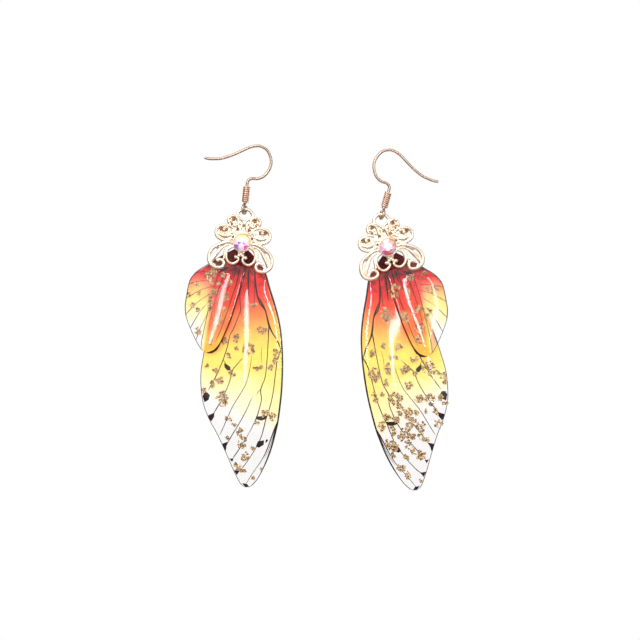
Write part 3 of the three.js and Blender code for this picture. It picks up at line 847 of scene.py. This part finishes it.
# ---- Cap -----------------------------------------------------------------------------------------
# Raised bands of the right half, as (x, down, width); the left half is their mirror image.
CAP_BANDS = [
    [(1.7, -0.1, 0.5), (1.15, 0.65, 0.6), (0.45, 1.15, 0.6), (0.2, 1.9, 0.6)],
    [(1.35, 3.2, 0.6), (1.55, 2.4, 0.75), (1.6, 1.6, 0.75),
     *spiral(2.95, 1.3, 1.3, 1.25, 165, -25, 7, 0.75), (3.9, 2.2, 0.6), (3.4, 2.45, 0.5)],
    [(2.7, 3.5, 0.6), (3.3, 2.95, 0.8), (4.2, 2.7, 0.75), *spiral(5.3, 4.65, 1.85, 1.85, 95, -75, 7, 0.8),
     (4.6, 6.75, 0.9), (3.4, 6.35, 0.8), (2.5, 6, 0.6)],
    [(3, 5.1, 0.5), (4, 5.45, 0.9), (5.2, 5.5, 1), (6.1, 5.1, 0.7), (6.35, 4.5, 0.4)],
    [(5.2, 5.2, 0.7), (5.15, 4.5, 0.55), (5.1, 3.95, 0.7)],
    [(0.55, 2, 0.55), (0.75, 3.1, 0.6), (1.1, 4.2, 0.6), (1.9, 4.75, 0.5)],
    [(2.4, 7.1, 0.6), (3.4, 7, 0.8), (4.6, 7.3, 0.9), (6, 7.95, 0.9), (7.3, 8.9, 0.9), (8.1, 10.2, 0.95),
     (8.3, 11.6, 0.95), (8, 12.8, 0.95), (7.15, 13.6, 0.95), (6.1, 13.95, 0.9),
     *spiral(5.25, 12.8, 1.1, 0.95, -80, -330, 9, 0.95)],
    [(2.3, 7.8, 0.4), (3.4, 7.75, 0.5), (4.5, 8.15, 0.6), (5.4, 8.95, 0.8), (6.2, 10.1, 1.05),
     (6.95, 11.3, 1.15), (7.4, 12.4, 1), (7.4, 13.2, 0.7)],
    [(3, 8.15, 0.4), (3.9, 8.7, 0.55), (4.3, 9.6, 0.6), (4.35, 10.6, 0.6), (4.4, 11.6, 0.6)],
    [(2, 8.1, 0.5), (2.95, 8.4, 0.7), (3.7, 9.3, 0.75), (3.85, 10.5, 0.78), (3.55, 11.6, 0.78),
     (2.75, 12.4, 0.78), (1.75, 12.5, 0.78), (0.9, 12, 0.75), (0.5, 11.3, 0.7), (0.9, 10.75, 0.75)],
    [(0.45, 8.8, 0.8), (0.55, 9.5, 0.7), (0.5, 10.4, 0.7)],
]
# Lower webs between the raised bands, in the same way
CAP_WEBS = [
    [(0, 1.1, 0.9), (0, 1.8, 0.7)],
    [(0.85, 1.3, 0.9), (0.8, 2.4, 0.8), (0.85, 3.4, 0.9), (0.9, 4.4, 1.2)],
    [(0, 3.2, 0.8), (0, 4.8, 1.2)],
    [(2.2, 1.75, 0.9), (3.2, 1.9, 0.8)],
    [(2, 2.6, 1.1), (2.6, 2.5, 1.2), (3.2, 2.2, 0.9)],
    [(2.4, 3.2, 1), (2.6, 4, 1.1), (3.3, 4.6, 1.1)],
    [(3.3, 3.6, 1.2), (3.7, 4.6, 1.1), (3.6, 5.4, 1.2)],
    [(4, 3.35, 0.7), (4.8, 3.2, 0.8), (5.1, 3.7, 0.6)],
    [(3.2, 5.8, 1.2), (4.4, 6, 1.3), (5.8, 5.9, 1.4), (6.5, 5.1, 0.9)],
    [(4.6, 7.6, 0.8), (5.9, 8.4, 1), (6.6, 9, 0.5)],
    [(7.4, 10.6, 0.5), (7.7, 11.6, 1), (7.6, 12.8, 1.2)],
    [(6.2, 13.5, 0.6), (7, 13.2, 0.9)],
]
# Half outline of the floor behind the upper scrolls, as (x, down)
CAP_FLOOR = [(0, 1), (1.3, 1), (1.9, 0.5), (2.9, 0.15), (3.8, 0.5), (4.15, 1.3), (3.9, 2.1), (3.4, 2.6),
             (4.3, 2.8), (5.4, 2.9), (6.4, 3.3), (7, 4.3), (7, 5.3), (6.4, 6.2), (5.4, 6.6), (4.2, 6.6),
             (3, 6.3), (0, 6.4)]
# Beads as (x, down, radius)
CAP_BEADS = [(3.5, 1.5, 0.45), (5.1, 3.95, 0.48), (1.3, 10.75, 0.5), (0.52, 9.4, 0.48), (0.5, 10.3, 0.48),
             (0, 9.85, 0.42)]
BAND_DEPTH = 0.36         # half thickness of a raised band
BAND_MIDDLE = -0.08       # and the depth its middle lies at
WEB_DEPTH = 0.28
WEB_MIDDLE = -0.05
BAND_STAGGER = 0.03       # between the depths of neighbouring bands
BEAD_MIDDLE = -0.15
FLOOR_BACK = 0.2
FLOOR_DEPTH = 0.32        # thickness of the floor behind the upper scrolls
ARCH_DEPTH = 0.3
SEAT_R = STONE_R + 0.5    # the disc behind the stone's cup
SEAT_DEPTH = 0.5
CUP_REACH = 0.34          # the cup's outside, past the stone's girdle
CUP_WALL = 0.26
CUP_FLOOR = 0.25
CUP_LIP = 0.12            # rounding of its edges
CAP_VOXEL = 0.075         # size of the cells that the cap is fused in
# Small pits of the floor's right half, as (x, down, radius), and the depth of their foot
CAP_PITS = [(5.8, 3.8, 0.5), (4.45, 4.0, 0.36), (2.75, 0.9, 0.46), (3.15, 2.35, 0.3), (1.55, 3.5, 0.34),
            (0.0, 2.45, 0.26), (2.5, 5.6, 0.3)]
PIT_FOOT = 0.03


def cap_half(sign):
    """Bands, webs and beads of one half of the cap, as separate meshes; sign is 1 for the right half."""
    pieces = []
    for lines, depth, middle in ((CAP_BANDS, BAND_DEPTH, BAND_MIDDLE), (CAP_WEBS, WEB_DEPTH, WEB_MIDDLE)):
        strokes = [[(sign * x, down, width) for x, down, width in line] for line in lines]
        for number, stroke in enumerate(flat_strokes(strokes, 0.3)):
            half_width = max(point[3] for point in stroke)
            band = bars("band", [stroke], 12)
            pieces.append(squeezed(band, depth / half_width, middle + BAND_STAGGER * (number % 3)))
    for x, down, radius in CAP_BEADS:
        if sign > 0 or x > 0:
            deselect_all()
            bpy.ops.mesh.primitive_uv_sphere_add(segments=20, ring_count=12, radius=radius,
                                                 location=(sign * x, BEAD_MIDDLE, -down),
                                                 scale=(1, 0.85, 1))
            pieces.append(placed())
    return pieces


def press_pits(cap):
    """Small round places of the floor's front are pressed in, back to near the middle plane, where the
    cap's painted shade makes them dark brown.
    """
    for vertex in cap.data.vertices:
        spot = (abs(vertex.co.x), -vertex.co.z)
        if -0.25 < vertex.co.y < 0 and any(math.dist(spot, pit[:2]) < pit[2] for pit in CAP_PITS):
            vertex.co.y = PIT_FOOT


def filigree_cap(pendant):
    """The cast cap: bands, webs, beads, arch, seat and floor, fused into one skin with rounded edges."""
    halves = [*cap_half(1), *cap_half(-1)]
    turns = np.linspace(0, 2 * math.pi, 48, endpoint=False)
    ring = [(ARCH_R * math.cos(t), 0, ARCH_R * math.sin(t), ARCH_BAND / 2) for t in turns]
    arch = squeezed(bars("arch", [ring], 12, closed=True), ARCH_DEPTH / (ARCH_BAND / 2), 0)
    deselect_all()
    bpy.ops.mesh.primitive_cylinder_add(vertices=48, radius=SEAT_R, depth=SEAT_DEPTH,
                                        location=(0, 0, -STONE_DROP), rotation=(math.pi / 2, 0, 0))
    seat = placed()
    floor = plates("floor", [CAP_FLOOR, [(-x, down) for x, down in CAP_FLOOR]], FLOOR_BACK, FLOOR_DEPTH)
    cap = joined(f"{pendant.prefix}_cast_cap", [*halves, arch, seat, floor])
    applied(cap, "REMESH", mode="VOXEL", voxel_size=CAP_VOXEL)
    applied(cap, "SMOOTH", factor=0.5, iterations=6)
    press_pits(cap)
    bpy.ops.object.shade_smooth()
    pendant.set_down(cap, PALE_GOLD, "pale_gold", ["filigree_cap"])


def bezel_cup(pendant):
    """The stone's cup: a cylinder, inset and pushed in, with its lip rounded over the stone."""
    front, back = pendant.layer("bezel_cup")
    deselect_all()
    bpy.ops.mesh.primitive_cylinder_add(vertices=64, radius=STONE_R + CUP_REACH, depth=back - front,
                                        location=(0, (front + back) / 2, -STONE_DROP),
                                        rotation=(math.pi / 2, 0, 0))
    cup = placed()
    pick_front_faces(cup, 0.9)
    with edit_mode():
        bpy.ops.mesh.inset(thickness=CUP_WALL)
        bpy.ops.mesh.extrude_region_move(TRANSFORM_OT_translate={"value": (0, back - front - CUP_FLOOR, 0)})
    applied(cup, "BEVEL", width=CUP_LIP, segments=3, limit_method="ANGLE", angle_limit=math.radians(50))
    shaded_smooth(cup, 35)
    cup.name = f"{pendant.prefix}_stone_cup"
    pendant.set_down(cup, PALE_GOLD, "pale_gold", ["bezel_cup"])


PAVILION = 0.8            # the stone below its girdle
GIRDLE = 0.15
# One tint for each eighth of the stone, from the leading side upwards and round: the coating's colour with
# the reflections seen there painted in; the right stone's top eighth is a painted white glint.
FACET_TINTS_AND_GLINTS = {
    "left": [(0.97, 0.76, 0.58), (1.0, 0.84, 0.62), (1.0, 0.80, 0.30), (1.0, 0.74, 0.50),
             (0.92, 0.66, 0.72), (0.30, 0.13, 0.62), (0.92, 0.60, 0.85), (0.60, 0.07, 0.45)],
    "right": [(0.76, 0.42, 0.74), (0.78, 0.52, 0.50), (1.0, 0.92, 0.90), (0.76, 0.42, 0.38),
              (0.64, 0.30, 0.33), (0.36, 0.38, 0.48), (0.62, 0.11, 0.12), (0.58, 0.08, 0.25)],
}


def cut_crystal(pendant):
    """A round brilliant: rings of corners wrapped in their hull, so that each face is one facet. While
    it is drawn, a corner's height says which ring it belongs to."""
    front, back = pendant.layer("crystal")
    girdle = back - PAVILION
    crown = girdle - GIRDLE - front
    # Corners, radius, depth and turn in degrees of each ring, from the table to the foot
    rings = [(8, 0.52, front, 0), (8, 0.84, front + 0.38 * crown, 22.5), (16, 1.0, girdle - GIRDLE, 0),
             (16, 1.0, girdle, 0), (8, 0.35, back, 0)]
    deselect_all()
    bpy.ops.mesh.primitive_circle_add(vertices=8, radius=0.52 * STONE_R, location=(0, 0, 0))
    gem = bpy.context.object
    with edit_mode():
        for mark, (corners, radius, _, _) in enumerate(rings[1:], 1):
            bpy.ops.mesh.primitive_circle_add(vertices=corners, radius=radius * STONE_R,
                                              location=(0, 0, -mark))
    for vertex in gem.data.vertices:
        _, _, depth, degrees = rings[-round(vertex.co.z)]
        turn, x, z = math.radians(degrees), vertex.co.x, vertex.co.y
        vertex.co = (x * math.cos(turn) - z * math.sin(turn), depth,
                     x * math.sin(turn) + z * math.cos(turn) - STONE_DROP)
    with edit_mode():
        bpy.ops.mesh.select_all(action="SELECT")
        bpy.ops.mesh.convex_hull()
        bpy.ops.mesh.normals_make_consistent(inside=False)
    pick_front_faces(gem, 0.97)
    with edit_mode():
        bpy.ops.mesh.dissolve_faces()
        bpy.ops.mesh.poke()
    gem.name = f"{pendant.prefix}_brilliant"
    tints = gem.data.color_attributes.new("facet_tint", "FLOAT_COLOR", "CORNER")
    for face in gem.data.polygons:
        turn = math.atan2(face.center.z + STONE_DROP, face.center.x)
        tint = FACET_TINTS_AND_GLINTS[pendant.prefix][round(turn / (math.pi / 4)) % 8]
        for corner in face.loop_indices:
            tints.data[corner].color = (*tint, 1)
    pendant.set_down(gem, CRYSTAL, "crystal", ["crystal"])


# ---- Ear wires -----------------------------------------------------------------------------------
# Heights are measured along the stem from the middle of the eye.
HOOK_RISE = 10.8          # coil top to the top of the hook
HOOK_BACK = 5.6
ARM_REACH = 11.9
EYE_TWIST = 20            # degrees between the eye's plane and straight across the hook
EYE_R = math.hypot(ARCH_BAND, SHEET) / 2 + LINK_PLAY + WIRE_R
# Where the eye's turn is drawn through, in the order of the wire
EYE_TURN = np.radians(np.arange(40, 322.1, 28.2))
STEM_CLEAR = 0.1          # eye's outside to the stem's foot
STEM_START = EYE_R + WIRE_R + STEM_CLEAR
COIL_TURNS = 8
COIL_STEPS = 24           # corners in one turn
COIL_GAP = 0.06
COIL_PLAY = 0.15          # coil to stem, all round
COIL_PITCH = 2 * COIL_WIRE_R + COIL_GAP
COIL_BASE = STEM_START + COIL_WIRE_R + COIL_GAP
COIL_TOP = COIL_BASE + COIL_TURNS * COIL_PITCH + COIL_WIRE_R
COIL_R = WIRE_R + COIL_PLAY + COIL_WIRE_R
# Along and up the hook from the coil's top: shares of HOOK_BACK, or of ARM_REACH once negative, and of
# HOOK_RISE.
HOOK_ROUTE = [(0.0, 0.04), (0.03, 0.13), (0.16, 0.19), (0.46, 0.205), (0.71, 0.27), (0.9, 0.4), (1.0, 0.54),
              (1.0, 0.68), (0.9, 0.82), (0.73, 0.935), (0.42, 1.0), (0.2, 0.99), (-0.02, 0.95),
              (-0.17, 0.855), (-0.33, 0.75), (-0.49, 0.66), (-0.63, 0.6), (-0.77, 0.57), (-0.92, 0.56),
              (-1.0, 0.574)]


def smooth_space_line(points, per_span):
    """A smooth centripetal run through points in space."""
    given = np.array(points, float)
    padded = np.vstack([2 * given[0] - given[1], given, 2 * given[-1] - given[-2]])
    run = []
    for p0, p1, p2, p3 in zip(padded, padded[1:], padded[2:], padded[3:]):
        spans = [max(np.linalg.norm(b - a), 1e-6) ** 0.5 for a, b in ((p0, p1), (p1, p2), (p2, p3))]
        t = np.cumsum([0, *spans])
        for s in np.linspace(t[1], t[2], per_span, endpoint=False):
            a1 = (t[1] - s) / (t[1] - t[0]) * p0 + (s - t[0]) / (t[1] - t[0]) * p1
            a2 = (t[2] - s) / (t[2] - t[1]) * p1 + (s - t[1]) / (t[2] - t[1]) * p2
            a3 = (t[3] - s) / (t[3] - t[2]) * p2 + (s - t[2]) / (t[3] - t[2]) * p3
            b1 = (t[2] - s) / (t[2] - t[0]) * a1 + (s - t[0]) / (t[2] - t[0]) * a2
            b2 = (t[3] - s) / (t[3] - t[1]) * a2 + (s - t[1]) / (t[3] - t[1]) * a3
            run.append((t[2] - s) / (t[2] - t[1]) * b1 + (s - t[1]) / (t[2] - t[1]) * b2)
    return [*run, given[-1]]


def finish_wire(piece, finish, node, body, place, side):
    """Sets a drawn wire in its place, with its finish and its body, and hides the frame's part that it
    takes the place of.
    """
    piece.data.transform(place)
    if side < 0:
        piece.data.flip_normals()
    shaded_smooth(piece, 50)
    piece.data.materials.append(finish)
    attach(piece, body)
    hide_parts(node)


def ear_wire(prefix, side):
    """The hook and its coil, set along the stem that the coil spins about."""
    spin = next(joint for joint in frame["joints"] if joint["name"] == f"{prefix}_coil_spin")
    eye, stem = Vector(spin["pos_m"]), Vector(spin["axis"])
    lean = math.atan2(stem.x, stem.z)
    place = (Matrix.Translation(eye) @ Matrix.Rotation(lean, 4, "Y") @ Matrix.Diagonal((side, 1, 1, 1))
             @ Matrix.Scale(MM, 4))
    twist = math.radians(EYE_TWIST)

    def in_eye(across, up):
        return (across * math.sin(twist), across * math.cos(twist), up)

    points = [in_eye(EYE_R * math.sin(turn), EYE_R * math.cos(turn)) for turn in EYE_TURN]
    points += [in_eye(-0.12 * EYE_R, STEM_START - WIRE_R / 2), in_eye(0, STEM_START + WIRE_R),
               (0, 0, (COIL_BASE + COIL_TOP) / 2), (0, 0, COIL_TOP)]
    points += [(along * (HOOK_BACK if along > 0 else ARM_REACH), 0, COIL_TOP + height * HOOK_RISE)
               for along, height in HOOK_ROUTE]
    line = smooth_space_line(points, 7)
    radii = [WIRE_R] * len(line)
    for step, share in enumerate((0.55, 0.85, 0.97)):
        radii[step] *= share
        radii[-1 - step] *= share
    wire = bars(f"{prefix}_hook", [[(*p, r) for p, r in zip(line, radii)]], 16)
    finish_wire(wire, WIRE_GOLD, f"{prefix}_ear_wire", "root", place, side)

    turns = []
    for step in range(COIL_TURNS * COIL_STEPS + 1):
        angle = 2 * math.pi * step / COIL_STEPS
        turns.append((COIL_R * math.cos(angle), COIL_R * math.sin(angle),
                      COIL_BASE + COIL_PITCH * step / COIL_STEPS, COIL_WIRE_R))
    coil = bars(f"{prefix}_coil_winding", [turns], 10)
    finish_wire(coil, ROSE_GOLD, f"{prefix}_ear_wire_coil", f"{prefix}_coil", place, side)


# ---- The pair ------------------------------------------------------------------------------------
# Borders are (edge, inset, width by the share of the edge from the root).
WINGS = [
    {"name": "forewing", "shape": FOREWING, "splayed": False, "tints": FOREWING_TINTS, "crown": 0.6,
     "borders": [("leading", 0.2, lambda s: 0.5 if s < 0.84 else max(0.22, 0.5 - (s - 0.84) * 3)),
                 ("trailing", 0.08, lambda s: 0.22 if s < 0.6 else 0.17)],
     "veins": FOREWING_VEINS, "marks": FOREWING_MARKS, "leaf": FOREWING_LEAF, "leaf_room": 0.42},
    {"name": "hindwing", "shape": HINDWING, "splayed": True, "tints": HINDWING_TINTS, "crown": 0.4,
     "borders": [("leading", 0.15, lambda s: 0.4), ("trailing", 0.1, lambda s: 0.26 if s < 0.7 else 0.16)],
     "veins": HINDWING_VEINS + fan(HINDWING), "marks": HINDWING_MARKS, "leaf": HINDWING_LEAF,
     "leaf_room": 0.28},
]


def build_wing(pendant, wing, seed):
    name, shape, splayed = wing["name"], wing["shape"], wing["splayed"]
    film_sheet(pendant, name, shape, wing["tints"], splayed)
    front_coat(pendant, name, shape, wing["crown"], seed, splayed)
    back_coat(pendant, name, shape, splayed)
    borders = [margin(shape, *border) for border in wing["borders"]]
    printed_lines(pendant, name, borders + wing["veins"], wing["marks"], splayed)
    gold_leaf_flakes(pendant, name, wing["leaf"][pendant.prefix], wing["leaf_room"], splayed, seed + 1)


def build_pendant(pendant, seed):
    filigree_cap(pendant)
    bezel_cup(pendant)
    cut_crystal(pendant)
    for node in ("cap_glue_pad", "wing_glue_pad"):
        pad = frame["nodes"][f"{pendant.prefix}_{node}"]
        pad.data.materials.clear()
        pad.data.materials.append(GLUE)
    for number, wing in enumerate(WINGS):
        build_wing(pendant, wing, seed + 2 * number)


for prefix, side, seed in (("left", 1, 11), ("right", -1, 41)):
    build_pendant(Pendant(prefix, side), seed)
    ear_wire(prefix, side)


# ---- Camera, floor and light ---------------------------------------------------------------------
# In metres.
AIM = Vector((15.72, 0, -45.3)) * MM
CAMERA_BACK = 0.397
FLOOR_DROP = 0.45
LENS = 85                 # millimetres, as is the sensor
SENSOR = 36
# Name, direction, distance, size and power in watts
LIGHTS = [
    ("front_key", (-0.55, -1, 0.75), 0.8, (0.45, 0.45), 2.7),
    ("front_fill", (0.9, -1, 0.1), 0.9, (0.35, 0.5), 1.2),
    ("top_light", (0, -0.1, 1), 0.9, (0.6, 0.5), 0.8),
    ("back_light", (0.3, 1, 0.5), 0.9, (0.5, 0.5), 2.2),
]
# Narrow lights beside the camera that leave bright lines on the resin: name, aside, width and power
STREAK_LIFT = 0.01
STREAK_HEIGHT = 0.085
STREAKS = [("near_left", -0.034, 0.010, 0.032), ("near_right", 0.034, 0.007, 0.028),
           ("far_right", 0.085, 0.005, 0.013)]
GREY = (0.8,) * 3
# The room's tone by direction: 0 is before the earrings, 0.5 at their sides, 1 behind them
ROOM_TONES = [(0.0, GREY), (1.0, GREY), (0.15, GREY), (0.31, (0.5, 0.42, 0.36)), (0.5, (0.1, 0.05, 0.03)),
              (0.7, (0.16, 0.11, 0.09)), (0.9, (0.5,) * 3)]


def add_camera():
    bpy.ops.object.camera_add(location=(AIM.x, -CAMERA_BACK, AIM.z), rotation=(math.pi / 2, 0, 0))
    camera = bpy.context.object
    camera.data.lens = LENS
    camera.data.sensor_width = SENSOR
    bpy.context.scene.camera = camera


def softbox(name, towards, distance, size, power, shape="RECTANGLE"):
    """An area light that faces the earrings from the direction given."""
    direction = Vector(towards).normalized()
    bpy.ops.object.light_add(type="AREA", location=AIM + direction * distance,
                             rotation=direction.to_track_quat("Z", "Y").to_euler())
    light = bpy.context.object
    light.name = name
    light.data.shape = shape
    light.data.size, light.data.size_y = size
    light.data.energy = power
    light.visible_camera = False


def add_floor():
    bpy.ops.mesh.primitive_plane_add(size=12, location=(AIM.x, 0, AIM.z - FLOOR_DROP))
    floor = bpy.context.object
    floor.name = "pale_floor"
    f = Finish("pale_floor")
    grain = f.noise(f.object_spot(), 3, 2)
    paper = f.mixed(grain, (1.0, 1.0, 1.0), (0.995, 0.995, 0.995))
    lit = f.add("ShaderNodeEmission", inputs={"Color": paper, "Strength": 1.0})
    bounce = f.add("ShaderNodeBsdfDiffuse", inputs={"Color": (0.5, 0.5, 0.5, 1)})
    seen = f.add("ShaderNodeLightPath", output="Is Camera Ray")
    shader = f.add("ShaderNodeMixShader", inputs={0: seen, 1: bounce, 2: lit})
    floor.data.materials.append(f.surface(shader))


def add_surroundings():
    """A white room, dimmer at the sides than before and behind the earrings, so that metal has dark
    edges. The camera sees it plain white."""
    world = bpy.data.worlds.new("white_room")
    bpy.context.scene.world = world
    f = Finish("white_room", world)
    way = f.add("ShaderNodeTexCoord", output="Generated")
    depth = f.add("ShaderNodeSeparateXYZ", inputs={"Vector": way}, output="Y")
    tone = f.ramp(depth * 0.5 + 0.5, ROOM_TONES)
    seen = f.add("ShaderNodeLightPath", output="Is Camera Ray")
    lit = f.add("ShaderNodeBackground", inputs={"Color": tone, "Strength": 1.25})
    white = f.add("ShaderNodeBackground", inputs={"Color": (1, 1, 1, 1), "Strength": 1.0})
    both = f.add("ShaderNodeMixShader", inputs={0: seen, 1: lit, 2: white})
    f.add("ShaderNodeOutputWorld", inputs={"Surface": both})


add_camera()
add_floor()
add_surroundings()
for light in LIGHTS:
    softbox(*light)
for name, aside, width, power in STREAKS:
    towards = (aside, -CAMERA_BACK, STREAK_LIFT)
    softbox(f"streak_{name}", towards, CAMERA_BACK, (width, STREAK_HEIGHT), power, "ELLIPSE")
scene = bpy.context.scene
scene.view_settings.view_transform = "Standard"
scene.cycles.transparent_max_bounces = 32
